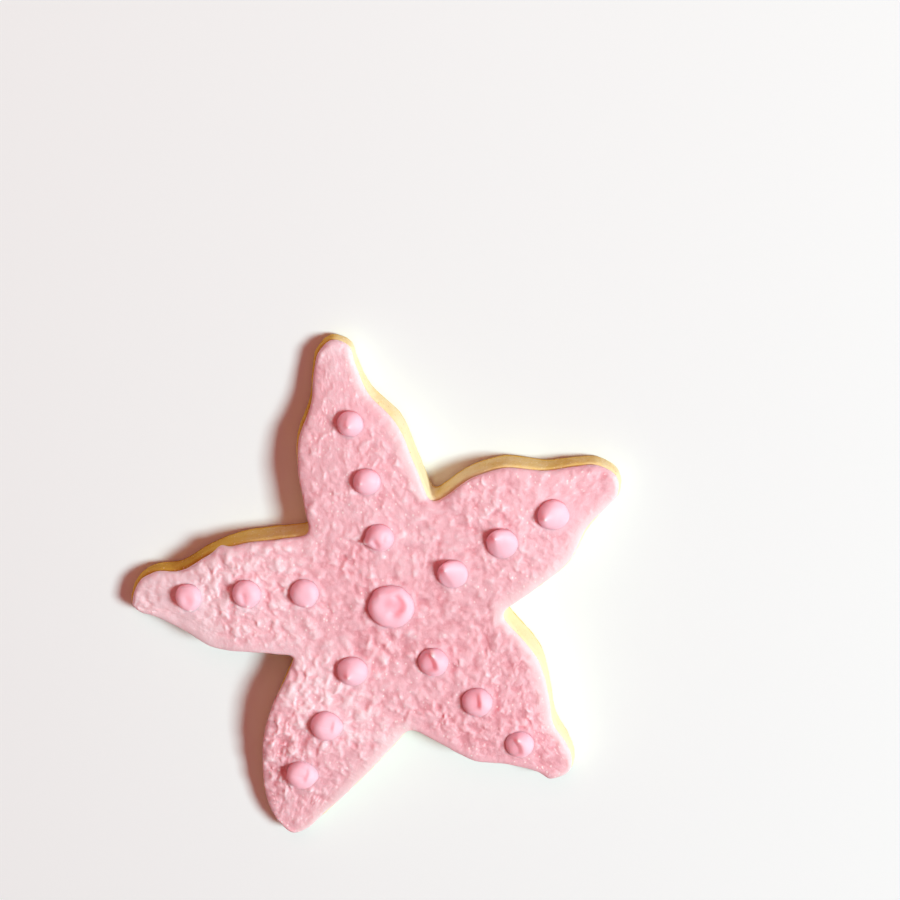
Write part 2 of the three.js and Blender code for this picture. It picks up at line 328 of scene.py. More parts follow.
class Grain:
    """Seeded noise in space: slopes at the corners of unit cells, blended by a smooth step."""

    SIZE = 256
    LOUDNESS = 1.6
    LAYER_SHIFT = 17.3

    def __init__(self, seed: int) -> None:
        """Draws the slopes, the order of the cells and six numbers for each cell.

        Args:
            seed: the number that the draws follow from.
        """
        draw = np.random.default_rng(seed)
        self.order = np.concatenate([draw.permutation(self.SIZE)] * 2)
        slopes = draw.normal(size=(self.SIZE, 3))
        self.slopes = slopes / np.linalg.norm(slopes, axis=1)[:, None]
        self.draws = draw.random((self.SIZE, 6))

    def cell(self, corner: Array) -> Array:
        """The number of the cell at a whole-numbered corner.

        Args:
            corner: whole numbers, with the coordinates last.

        Returns:
            One cell number for each corner.
        """
        wrapped = corner % self.SIZE
        number = self.order[wrapped[..., 0]]
        for axis in range(1, corner.shape[-1]):
            number = self.order[number + wrapped[..., axis]]
        return number

    def at(self, places: Array) -> Array:
        """Noise between about -1 and 1 at places in space, one unit from lump to lump.

        Args:
            places: points, with their three coordinates last.

        Returns:
            One value for each point.
        """
        corner = np.floor(places).astype(int)
        part = places - corner
        fade = part ** 3 * (part * (part * 6 - 15) + 10)
        total = np.zeros(places.shape[:-1])
        for offset in np.ndindex(2, 2, 2):
            slope = self.slopes[self.cell(corner + offset)]
            weight = np.where(np.array(offset) == 1, fade, 1 - fade).prod(axis=-1)
            total += weight * ((part - offset) * slope).sum(axis=-1)
        return self.LOUDNESS * total

    def layers(self, places: Array, count: int, gain: float = 0.5) -> Array:
        """Noise added to finer and weaker noise, each layer half as coarse as the last."""
        return sum(
            gain ** i * self.at(places * 2 ** i + self.LAYER_SHIFT * i) for i in range(count))

    def flecks(self, places: Array, kind: "Fleck") -> Array:
        """Small oval bells strewn one to a square.

        A bell is (1 - q^2)^2 at the oval distance q from its middle. Place, turn, size and
        height are drawn for each square. Where bells meet, their cubes add up.

        Args:
            places: points of the plane.
            kind: the spacing, sizes and heights of the bells.

        Returns:
            The height at each point.
        """
        spots = places / kind.spacing
        corner = np.floor(spots).astype(int)
        total = np.zeros(places.shape[:-1])
        for offset in np.ndindex(3, 3):
            square = corner + np.array(offset) - 1
            draw = self.draws[self.cell(square)]
            away = (spots - square - draw[..., :2]) * kind.spacing
            turn = np.radians(kind.bearing + kind.spread * (2 * draw[..., 2] - 1))
            ahead = np.cos(turn) * away[..., 0] + np.sin(turn) * away[..., 1]
            aside = np.cos(turn) * away[..., 1] - np.sin(turn) * away[..., 0]
            length, width = pick(kind.length, draw[..., 3]), pick(kind.width, draw[..., 4])
            q = np.hypot(ahead / length, aside / width)
            lift = np.clip(1 - q * q, 0, None) ** 2 * pick(kind.height, draw[..., 5])
            total += np.clip(lift, 0, None) ** 3
        return np.cbrt(total)


@dataclass(frozen=True)
class Fleck:
    """A kind of small dab: spacing, half lengths, half widths and heights in millimetres.

    The dabs lie along a bearing, give or take a spread.
    """

    spacing: float
    length: Span
    width: Span
    height: Span
    bearing: float = 90.0
    spread: float = 90.0


def pick(span: Span, share: Array) -> Array:
    """Numbers at shares of the way between two numbers."""
    return span[0] + (span[1] - span[0]) * share


def in_space(plane: Array, z: float | Array = 0.0) -> Array:
    """Points of the plane with a third coordinate."""
    return np.concatenate([plane, np.broadcast_to(z, plane.shape[:-1])[..., None]], axis=-1)


# ------------------------------------------------------------------ meshes

class Shell:
    """Nets of points gathered into one closed mesh, with values kept for each point."""

    def __init__(self, names: Sequence[str] = ()) -> None:
        """Starts an empty shell whose points keep a value under each name.

        Args:
            names: the names of the values.
        """
        self.names = tuple(names)
        self.rows: list[Array] = []
        self.faces: list[Array] = []
        self.count = 0

    def net(self, points: Array, **values: float | Array) -> None:
        """Adds a net, which faces up where each row lies left of the last.

        Args:
            points: rows and columns of points in space.
            values: a value under each of the shell's names, for all points or for each one.
        """
        rows, columns = points.shape[:2]
        kept = [np.broadcast_to(values[name], (rows, columns)) for name in self.names]
        table = np.concatenate([points, *(value[..., None] for value in kept)], axis=-1)
        self.rows.append(table.reshape(rows * columns, -1))
        number = self.count + np.arange(rows * columns).reshape(rows, columns)
        corners = (number[:-1, :-1], number[:-1, 1:], number[1:, 1:], number[1:, :-1])
        self.faces.append(np.stack(corners, axis=-1).reshape(-1, 4))
        self.count += rows * columns

    def rings(self, points: Array, **values: float | Array) -> None:
        """Adds closed rings as a net whose last column is its first one again.

        Args:
            points: rings and their points in space.
            values: a value under each of the shell's names, for all points or for each one.
        """
        around = {
            name: np.concatenate([value, value[:, :1]], axis=1)
            if isinstance(value, np.ndarray) and value.ndim == 2 and value.shape[1] > 1 else value
            for name, value in values.items()
        }
        self.net(np.concatenate([points, points[:, :1]], axis=1), **around)

    def lid(self, ring: Array, faces_up: bool, **values: float | Array) -> None:
        """Fills the star's ring with rungs across each arm and a face in the middle.

        Args:
            ring: points in the cutter edge's layout, the same number for each arm.
            faces_up: whether the lid faces up or down.
            values: a value under each of the shell's names, for all points or for each one.
        """
        kept = [np.broadcast_to(values[name], len(ring)) for name in self.names]
        self.rows.append(np.column_stack([ring, *kept]))
        share = len(ring) // len(ARMS)
        start = share * np.arange(len(ARMS))[:, None]
        k = np.arange(share // 2)[None, :]
        rungs = np.stack([start + k, start + k + 1, start + share - k - 1, start + share - k], axis=-1)
        notches = start[:, 0]
        middle = [[notches[0], notches[i - 1], notches[i], notches[i]] for i in range(2, len(ARMS))]
        faces = np.vstack([rungs.reshape(-1, 4), middle]) % len(ring)
        self.faces.append((faces if faces_up else faces[:, ::-1]) + self.count)
        self.count += len(ring)

    def build(self, name: str) -> bpy.types.Object:
        """Welds points that are equal and makes the mesh and its object.

        Args:
            name: the name of the object and of its mesh.

        Returns:
            The new object, at the origin.
        """
        table = np.vstack(self.rows)
        _, first, number = np.unique(
            table[:, :3].round(6) + 0.0, axis=0, return_index=True, return_inverse=True)
        number = number.reshape(-1)
        faces = number[np.vstack(self.faces)]
        table = table[first]
        distinct = [list(dict.fromkeys(face)) for face in faces.tolist()]
        polygons = [corners for corners in distinct if len(corners) > 2]
        mesh = bpy.data.meshes.new(name)
        mesh.from_pydata((table[:, :3] * MM).tolist(), [], polygons)
        for column, value in enumerate(self.names, start=3):
            layer = mesh.attributes.new(value, "FLOAT", "POINT")
            layer.data.foreach_set("value", table[:, column].astype(np.float32))
        mesh.polygons.foreach_set("use_smooth", np.ones(len(mesh.polygons), dtype=bool))
        mesh.update()
        piece = bpy.data.objects.new(name, mesh)
        bpy.context.collection.objects.link(piece)
        return piece


def settle(piece: bpy.types.Object, finish: bpy.types.Material) -> None:
    """Lets a piece ride on the cookie, with its finish.

    Args:
        piece: the piece.
        finish: the material.
    """
    piece.data.materials.append(finish)
    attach(piece, BODY)


# ------------------------------------------------------------------ shader maths

class Signal:
    """A node's output that takes part in Python arithmetic."""

    def __init__(self, recipe: "Recipe", socket: bpy.types.NodeSocket) -> None:
        """Wraps a socket of a recipe's node tree."""
        self.recipe = recipe
        self.socket = socket

    def math(self, operation: str, *values: "float | Signal") -> "Signal":
        """A Math node of this operation on the given values."""
        return self.recipe.node("ShaderNodeMath", {"operation": operation}, dict(enumerate(values)))

    def __add__(self, other: "float | Signal") -> "Signal":
        """Sum."""
        return self.math("ADD", self, other)

    def __sub__(self, other: "float | Signal") -> "Signal":
        """Difference."""
        return self.math("SUBTRACT", self, other)

    def __rsub__(self, other: "float | Signal") -> "Signal":
        """Difference from a number."""
        return self.math("SUBTRACT", other, self)

    def __mul__(self, other: "float | Signal") -> "Signal":
        """Product."""
        return self.math("MULTIPLY", self, other)

    __radd__ = __add__
    __rmul__ = __mul__

    def between(self, low: float, high: float) -> "Signal":
        """A smooth step: nothing at low and one at high.

        Args:
            low: where the step starts.
            high: where it ends.

        Returns:
            The step of this signal.
        """
        return self.recipe.node(
            "ShaderNodeMapRange", {"interpolation_type": "SMOOTHSTEP"},
            {"Value": self, "From Min": low, "From Max": high})


class Recipe:
    """The node tree of one finish, and the nodes that its expressions add."""

    def __init__(self, name: str) -> None:
        """Makes a material with an empty node tree.

        Args:
            name: the material's name.
        """
        self.material = bpy.data.materials.new(name)
        self.material.use_nodes = True
        self.tree = self.material.node_tree
        self.tree.nodes.clear()

    def node(self, kind: str, settings: Mapping[str, object] | None = None,
             sockets: Mapping[str | int, object] | None = None, out: str | int = 0) -> Signal:
        """Adds a node: its settings first, then the values or links of its sockets.

        Args:
            kind: the node's type.
            settings: properties of the node.
            sockets: input names or numbers, with a number, a colour or a signal for each.
            out: the name or number of the output to return.

        Returns:
            The chosen output.
        """
        made = self.tree.nodes.new(kind)
        for name, value in (settings or {}).items():
            setattr(made, name, value)
        for name, value in (sockets or {}).items():
            self.feed(made.inputs[name], value)
        return Signal(self, made.outputs[out])

    def feed(self, socket: bpy.types.NodeSocket, value: object) -> None:
        """Links a signal to a socket, or sets the socket's own value.

        Args:
            socket: the input to feed.
            value: a signal, a number, a colour or a vector.
        """
        if isinstance(value, Signal):
            self.tree.links.new(value.socket, socket)
        elif isinstance(value, tuple) and len(value) == 3 and socket.type == "RGBA":
            socket.default_value = (*value, 1.0)
        else:
            socket.default_value = value

    def value(self, name: str) -> Signal:
        """The value that each point of the piece keeps under a name."""
        return self.node("ShaderNodeAttribute", {"attribute_name": name}, out="Fac")

    def place(self, stretch: Triple = (1.0, 1.0, 1.0)) -> Signal:
        """The place on the piece in millimetres, stretched along each axis.

        Args:
            stretch: how many times longer a pattern gets along each axis.

        Returns:
            The place, as a vector.
        """
        spot = self.node("ShaderNodeTexCoord", out="Object")
        scale = tuple(1 / (MM * s) for s in stretch)
        return self.node("ShaderNodeMapping", {}, {"Vector": spot, "Scale": scale})

    def noise(self, place: Signal, size: float, detail: float = 2.0, rough: float = 0.5) -> Signal:
        """Cloudy noise from 0 to 1 with lumps of about a size in millimetres."""
        return self.node("ShaderNodeTexNoise", {}, {
            "Vector": place, "Scale": 1 / size, "Detail": detail, "Roughness": rough})

    def specks(self, place: Signal, spacing: float) -> Signal:
        """Distance to the nearest of strewn points, as a share of their spacing."""
        return self.node("ShaderNodeTexVoronoi", {}, {"Vector": place, "Scale": 1 / spacing}, "Distance")

    def blend(self, share: float | Signal, first: Colour | Signal, second: Colour | Signal) -> Signal:
        """The first colour turning into the second as the share goes from 0 to 1.

        Args:
            share: the share of the second colour.
            first: the colour at 0.
            second: the colour at 1.

        Returns:
            The blended colour.
        """
        made = self.tree.nodes.new("ShaderNodeMix")
        made.data_type = "RGBA"
        colours = [socket for socket in made.inputs if socket.type == "RGBA"]
        self.feed(made.inputs[0], share)
        self.feed(colours[0], first)
        self.feed(colours[1], second)
        return Signal(self, next(socket for socket in made.outputs if socket.type == "RGBA"))

    def bump(self, height: Signal, depth: float) -> Signal:
        """A normal that is tilted by a height of a depth in millimetres."""
        return self.node("ShaderNodeBump", {}, {
            "Height": height, "Distance": depth * MM, "Strength": 1.0}, "Normal")

    def finish(self, **sockets: object) -> bpy.types.Material:
        """Ends the recipe in a Principled shader with these inputs.

        Light that goes below the surface spreads by the diffusion profile of the shader.

        Args:
            sockets: the shader's inputs, with underscores for the spaces in their names.

        Returns:
            The material.
        """
        names = {name.replace("_", " "): value for name, value in sockets.items()}
        shader = self.node("ShaderNodeBsdfPrincipled", {"subsurface_method": "BURLEY"}, names, "BSDF")
        end = self.tree.nodes.new("ShaderNodeOutputMaterial")
        self.tree.links.new(shader.socket, end.inputs["Surface"])
        return self.material


# ------------------------------------------------------------------ finishes

@dataclass(frozen=True)
class BakedDough:
    """Dry baked dough: cream where its value is low and tan to brown where it is high, which is partly
    browning and partly painted shade and light on the walls, with crumb and specks.
    """

    pale: Colour = (0.88, 0.79, 0.50)
    tan: Colour = (0.74, 0.51, 0.09)
    brown: Colour = (0.46, 0.23, 0.01)
    light_crumb: Colour = (1.0, 0.88, 0.60)
    mottle_size: float = 2.6
    mottle: float = 0.35
    crumb_size: float = 0.35
    crumb: float = 0.25
    crumb_depth: float = 0.10
    pitting_size: float = 0.9
    dark_gap: float = 1.3
    dark: float = 0.4
    light_gap: float = 0.9
    light_stretch: Triple = (1.0, 1.0, 1.3)
    light: float = 0.45

    def make(self) -> bpy.types.Material:
        """The dough's material, which reads how brown each point is, browning and painted shade
        together.

        Returns:
            The material.
        """
        recipe = Recipe("baked_dough")
        spot = recipe.place()
        mottle = recipe.noise(spot, self.mottle_size, 3.0, 0.6)
        crumb = recipe.noise(spot, self.crumb_size, 3.0, 0.65)
        # The baked value carries painted shade on the walls that turn from the lamp and painted light by
        # the notches, as well as browning.
        heat = recipe.value("baked") + self.mottle * (mottle - 0.5) + self.crumb * (crumb - 0.5)
        colour = recipe.blend(heat.between(0.05, 0.65), self.pale, self.tan)
        colour = recipe.blend(heat.between(0.6, 1.1), colour, self.brown)
        dark = 1 - recipe.specks(spot, self.dark_gap).between(0.05, 0.16)
        colour = recipe.blend(self.dark * dark, colour, self.brown)
        light = 1 - recipe.specks(recipe.place(self.light_stretch), self.light_gap).between(0.1, 0.22)
        colour = recipe.blend(self.light * light, colour, self.light_crumb)
        normal = recipe.bump(crumb + 0.5 * recipe.noise(spot, self.pitting_size, 2.0), self.crumb_depth)
        return recipe.finish(
            Base_Color=colour, Roughness=0.9, Specular_IOR_Level=0.15, Normal=normal,
            Subsurface_Weight=0.12, Subsurface_Radius=(1.0, 0.5, 0.2), Subsurface_Scale=0.8 * MM)


@dataclass(frozen=True)
class DabbedIcing:
    """Dried icing worked with a palette knife: its crests painted paler as painted light, its hollows
    painted rosier as painted shade, and a smooth edge.
    """

    # Painted light and shade: crest lightens the high dabs and hollow darkens the low ones, by the lie
    # value.
    crest: Colour = (0.90, 0.73, 0.79)
    middle: Colour = (0.83, 0.52, 0.585)
    hollow: Colour = (0.70, 0.34, 0.395)
    crumb: Colour = (0.95, 0.88, 0.88)
    crumb_share: float = 0.6
    sugar_gap: float = 1.15
    sugar_share: float = 0.75
    stretch: Triple = (1.0, 1.35, 1.0)
    cloud_size: float = 9.0
    cloud: float = 0.30
    pitting_size: float = 0.8
    grain_size: float = 0.32
    grain: float = 0.45
    grain_depth: float = 0.05

    def make(self) -> bpy.types.Material:
        """The icing's material, which reads how deep each point lies among the dabs and paints the
        crests lighter and the hollows darker, as light and shade.

        Returns:
            The material.
        """
        recipe = Recipe("dabbed_icing")
        spot = recipe.place(self.stretch)
        cloud = recipe.noise(spot, self.cloud_size, 2.0)
        grain = recipe.noise(spot, self.grain_size, 3.0, 0.6)
        level = recipe.value("lie") + self.cloud * (cloud - 0.5) + self.grain * (grain - 0.5)
        # Painted shade in the hollows and painted light on the crests.
        colour = recipe.blend(level.between(0.0, 0.5), self.hollow, self.middle)
        colour = recipe.blend(level.between(0.45, 1.0), colour, self.crest)
        # The white value holds crumbs and a pale band along the edge, which is painted light where the
        # edge faces the lamp.
        white = recipe.value("white").between(0.1, 0.8)
        colour = recipe.blend(self.crumb_share * white, colour, self.crumb)
        sugar = 1 - recipe.specks(spot, self.sugar_gap).between(0.08, 0.24)
        colour = recipe.blend(self.sugar_share * (sugar * cloud.between(0.38, 0.58)), colour, self.crumb)
        normal = recipe.bump(grain + 0.8 * recipe.noise(spot, self.pitting_size, 2.0), self.grain_depth)
        return recipe.finish(
            Base_Color=colour, Roughness=0.6, Specular_IOR_Level=0.3, Normal=normal,
            Subsurface_Weight=0.65, Subsurface_Radius=(1.0, 0.25, 0.25), Subsurface_Scale=1.6 * MM)


@dataclass(frozen=True)
class PipedIcing:
    """Smooth piped icing, cooler and lighter than the skin, with painted shade in deeper pink low on
    each drop and in its marks, and a painted highlight on its nibs.
    """

    body: Colour = (0.94, 0.33, 0.415)
    crest: Colour = (0.965, 0.595, 0.71)
    # Painted highlight on the nibs' tips.
    nib: Colour = (1.0, 0.88, 0.92)
    # Painted shade low on the drop, where it meets the skin.
    foot: Colour = (0.98, 0.22, 0.26)
    cloud_size: float = 1.8
    cloud: float = 0.12
    grain_size: float = 0.25
    grain_depth: float = 0.02

    def make(self) -> bpy.types.Material:
        """The drops' material, which reads how clear each point stands of the foot and the marks, and
        paints shade low on the drop and in the marks and a highlight on the nibs.

        Returns:
            The material.
        """
        recipe = Recipe("piped_icing")
        clear = recipe.value("clear")
        spot = recipe.place()
        cloud = recipe.noise(spot, self.cloud_size, 2.0)
        # Painted shade: the foot colour low on the drop.
        colour = recipe.blend(clear.between(0.1, 0.45), self.foot, self.body)
        level = clear + self.cloud * (cloud - 0.5)
        # Painted shade in the marks: where their dents lower clear, the drop stays in the deeper body
        # pink.
        colour = recipe.blend(level.between(0.4, 0.9), colour, self.crest)
        # Painted highlight: the nibs lift clear above one.
        colour = recipe.blend(clear.between(1.0, 1.35), colour, self.nib)
        normal = recipe.bump(recipe.noise(spot, self.grain_size, 2.0), self.grain_depth)
        return recipe.finish(
            Base_Color=colour, Roughness=0.5, Specular_IOR_Level=0.35, Normal=normal,
            Subsurface_Weight=0.9, Subsurface_Radius=(1.0, 0.3, 0.3), Subsurface_Scale=3.5 * MM)


@dataclass(frozen=True)
class PaleTable:
    """A plain pale table top."""

    colour: Colour = (0.81, 0.95, 0.96)

    def make(self) -> bpy.types.Material:
        """The table's material."""
        return Recipe("pale_table").finish(Base_Color=self.colour, Roughness=0.9)


# ------------------------------------------------------------------ heights

@dataclass(frozen=True)
class DoughHeight:
    """How high the dough stands: level in the middle, higher to the right, lower at the tips."""

    middle: float = 7.2
    slope: float = 0.01
    thinning: float = 4.0
    thinning_from: float = 28.0
    thinning_to: float = 58.0

    def at(self, places: Array) -> Array:
        """The height of the dough's top at places of the plane."""
        out = ease(np.linalg.norm(places, axis=-1), self.thinning_from, self.thinning_to)
        return self.middle + self.slope * places[..., 0] - self.thinning * out


def to_frame(points: Array) -> Array:
    """Points seen from where the arms meet, moved to the frame's origin."""
    return points - np.array([MIDDLE[0], MIDDLE[1], 0.0])


# ------------------------------------------------------------------ dough

@dataclass
class DoughSlab:
    """The baked star: a rounded lower edge, an upright wall and a flat underside."""

    height: DoughHeight = field(default_factory=DoughHeight)
    along: int = 96
    across: int = 72
    wall_rows: int = 24
    edge_rows: int = 6
    lower_edge: float = 0.8
    upper_edge: float = 0.9
    upper_inset: float = 0.48
    bulge: float = 0.12
    crumb: float = 0.07
    crumb_size: float = 1.7
    pit: float = 0.12
    pit_size: float = 0.8
    lid_baked: float = 0.2
    mottle_size: float = 7.0
    # Painted shade: walls that turn away from this lit side are painted browner.
    lit_side: float = 315.0
    # Painted light: the spots with a negative gain lighten the walls by the two notches; the others make
    # the left arm's upper wall and the top arm's left wall browner.
    browner_and_lit_spots: tuple[Spot, ...] = (
        Spot((-42, 9), 11.0, 0.34), Spot((-16, 46), 10.0, 0.3), Spot((17, 24), 7.0, -0.45),
        Spot((-14, 18), 7.0, -0.12))
    seed: int = 5

    def build(self) -> bpy.types.Object:
        """Makes the dough's mesh.

        The wall is a profile carried round the edge: a quarter ellipse, an upright that swells
        a little, and a quarter ellipse under the icing. Noise moves it in and out as crumb.

        Returns:
            The dough's object.
        """
        edge = CutterEdge(self.along, self.across)
        loop = edge.loop()
        inward = inwards(loop)
        top = self.height.at(loop)
        grain = Grain(self.seed)
        turn = np.linspace(0, np.pi / 2, self.edge_rows)
        upright = np.linspace(0, 1, self.wall_rows)[1:-1]
        rows = [(self.lower_edge * (1 - np.sin(t)), self.lower_edge * (1 - np.cos(t)) + 0 * top)
                for t in turn]
        low, high = self.lower_edge, top - self.upper_edge
        rows += [(-self.bulge * np.sin(np.pi * s) ** 2, low + s * (high - low)) for s in upright]
        rows += [(self.upper_inset * (1 - np.cos(t)), top - self.upper_edge * (1 - np.sin(t)))
                 for t in turn]
        places = np.stack([in_space(loop + inset * inward, z) for inset, z in rows])
        crumb = self.crumb * grain.layers(places / self.crumb_size, 3, 0.6)
        pits = self.pit * ease(grain.at(places / self.pit_size + 40), 0.45, 0.9)
        free = ease(places[..., 2], 0.0, 0.5)
        places[..., :2] -= ((crumb - pits) * free)[..., None] * inward
        baked = self.wall_tone_shade_and_light(places, inward)
        shell = Shell(("baked",))
        shell.rings(to_frame(places), baked=baked)
        shell.lid(to_frame(places[-1]), True, baked=self.lid_baked)
        for net in star_nets(places[0][:, :2], edge):
            under = in_space(net, 0.0)
            shell.net(to_frame(under[::-1]), baked=self.underside(under[::-1], grain))
        return shell.build("dough_star")

    def wall_tone_shade_and_light(self, places: Array, inward: Array) -> Array:
        """How brown the wall is: browner towards the lower edge, painted shade on the walls that turn
        away from the lit side, browner spots, and painted light by the notches.

        Args:
            places: the wall's points in space, ring by ring.
            inward: the direction inwards at each point of a ring.

        Returns:
            One value for each point, from about 0 where it is pale to 1 where it is brown.
        """
        share = places[..., 2] / self.height.at(places[..., :2])
        # Painted shade: the more a wall turns away from the lit side, the browner it is painted.
        heat = inward @ polar(self.lit_side, 1)
        # Painted light by the notches, from the spots with a negative gain.
        spots = sum(spot.at(places[..., :2]) for spot in self.browner_and_lit_spots)
        low = 1 - ease(share, 0.0, 0.28)
        return 0.18 + 0.34 * np.clip(heat, -0.5, 1) + 0.55 * low + spots

    def underside(self, places: Array, grain: Grain) -> Array:
        """How well baked the underside is: browned all over and darker towards the edge."""
        out = ease(np.linalg.norm(places[..., :2], axis=-1), 10, 55)
        return 0.42 + 0.22 * out + 0.15 * grain.layers(places / self.mottle_size, 3)

    def dress(self, piece: bpy.types.Object) -> None:
        """Gives the dough its finish and lets it stand for its solid."""
        settle(piece, BakedDough().make())
        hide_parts("biscuit")


# ------------------------------------------------------------------ icing

@dataclass(frozen=True)
class Dabs:
    """The marks of the palette knife: swells, lumps, pulled strokes, beads, pearls and crumbs."""

    seed: int = 11
    warp: float = 0.5
    warp_size: float = 1.9
    swell: float = 0.15
    swell_size: float = 6.0
    ground: float = 0.42
    ground_size: float = 2.3
    lumps: Fleck = Fleck(2.5, (0.9, 1.9), (0.7, 1.4), (-0.30, 0.62), 70.0, 60.0)
    pulled: Fleck = Fleck(2.0, (1.0, 2.4), (0.45, 0.85), (-0.24, 0.58), 80.0, 36.0)
    beads: Fleck = Fleck(1.15, (0.5, 0.9), (0.4, 0.65), (-0.16, 0.30))
    pearls: Fleck = Fleck(0.66, (0.3, 0.5), (0.25, 0.4), (-0.05, 0.14))
    crumbs: Fleck = Fleck(0.95, (0.18, 0.30), (0.15, 0.24), (-0.35, 0.2))
    fine: float = 0.02
    fine_size: float = 0.5
    usual: float = 0.20
    depth: float = 0.75
    crumb_warp: float = 0.3
    white_from: float = 0.1

    def at(self, places: Array, strength: Array, strokes: Array, crumbly: Array) -> tuple[Array, ...]:
        """The lift of the dabs, and how each point lies among them.

        The lift is a slow swell and an uneven ground, plus lumps and pulled strokes, plus beads,
        pearls and crumbs on top. The places are first shifted by noise, so that no dab stays an
        oval.

        Args:
            places: points of the plane.
            strength: how strongly the dabs stand out at each point.
            strokes: how much of them is pulled into strokes.
            crumbly: how many stray crumbs lie there.

        Returns:
            The lift, the lie from 0 in a hollow to 1 on a crest, and the share of white crumb.
        """
        grain, other = Grain(self.seed), Grain(self.seed + 1)
        flat = in_space(places)
        shift = np.stack([other.layers(flat / self.warp_size + k, 2) for k in (0.0, 31.0)], axis=-1)
        warped = places + self.warp * shift
        large = (1 - strokes) * grain.flecks(warped, self.lumps)
        large = large + strokes * other.flecks(warped, self.pulled)
        small = grain.flecks(warped + 50, self.beads) + 0.8 * other.flecks(warped + 90, self.pearls)
        ground = self.ground * strength * grain.layers(in_space(warped) / self.ground_size + 9, 2)
        dabs = strength * large + (0.35 + 0.65 * strength) * small + ground
        dabs = dabs + self.fine * other.layers(flat / self.fine_size, 2)
        usual = self.usual * strength
        strewn = other.flecks(places + self.crumb_warp * shift, self.crumbs)
        crumb = np.clip(strewn, 0, None) * crumbly
        lift = self.swell * grain.layers(flat / self.swell_size + 3, 2) + dabs - usual + crumb
        lie = np.clip(0.5 + (dabs - usual) / self.depth, 0, 1)
        return lift, lie, np.clip(crumb / self.white_from, 0, 1)


@dataclass(frozen=True)
class Patch:
    """A round patch of icing: its place and reach, and how it was worked.

    rough, strokes and crumbs say how rough, stroked and crumbly it is, and pale how much paler
    than usual it is painted, partly as painted light.
    """

    place: Place
    reach: float
    rough: float
    strokes: float
    crumbs: float
    pale: float = 0.0


# Painted light: the pale values on the left arm and its tip lighten where that arm turns away from the
# lamp.
PATCHES = (
    Patch((0, 0), 14, 0.78, 0.35, 0.25, -0.08),
    Patch((5, 14), 6, 0.5, 0.2, 0.2, 0.2),
    Patch((-6, 24), 11, 0.52, 0.1, 0.8, 0.03),
    Patch((-11, 46), 10, 0.32, 0.0, 0.65, 0.08),
    Patch((-10, 56), 4.5, 0.25, 0.0, 0.4, 0.4),
    Patch((-2, 36), 8, 0.42, 0.0, 0.3, 0.05),
    Patch((17, 20), 6, 0.72, 0.4, 0.9, 0.05),
    Patch((24, 10), 9, 0.54, 0.3, 0.0, 0.04),
    Patch((40, 24), 10, 0.40, 0.1, 0.4),
    Patch((-26, 11), 9, 0.98, 0.1, 0.5, 0.34),
    Patch((-24, -3), 9, 0.54, 0.3, 0.15, 0.2),
    Patch((-44, 2), 8, 0.42, 0.2, 0.2, 0.85),
    Patch((-12, -16), 9, 0.90, 0.5, 0.3, 0.42),
    Patch((-24, -30), 8, 1.15, 0.8, 0.8, 0.12),
    Patch((-14, -40), 10, 0.46, 0.6, 0.25, 0.06),
    Patch((14, -14), 9, 0.74, 0.5, 0.1, 0.0),
    Patch((24, -22), 8, 0.70, 0.6, 0.2, -0.1),
    Patch((34, -32), 7, 0.46, 0.1, 0.8, -0.2),
)


LEAST_WEIGHT = 1e-4


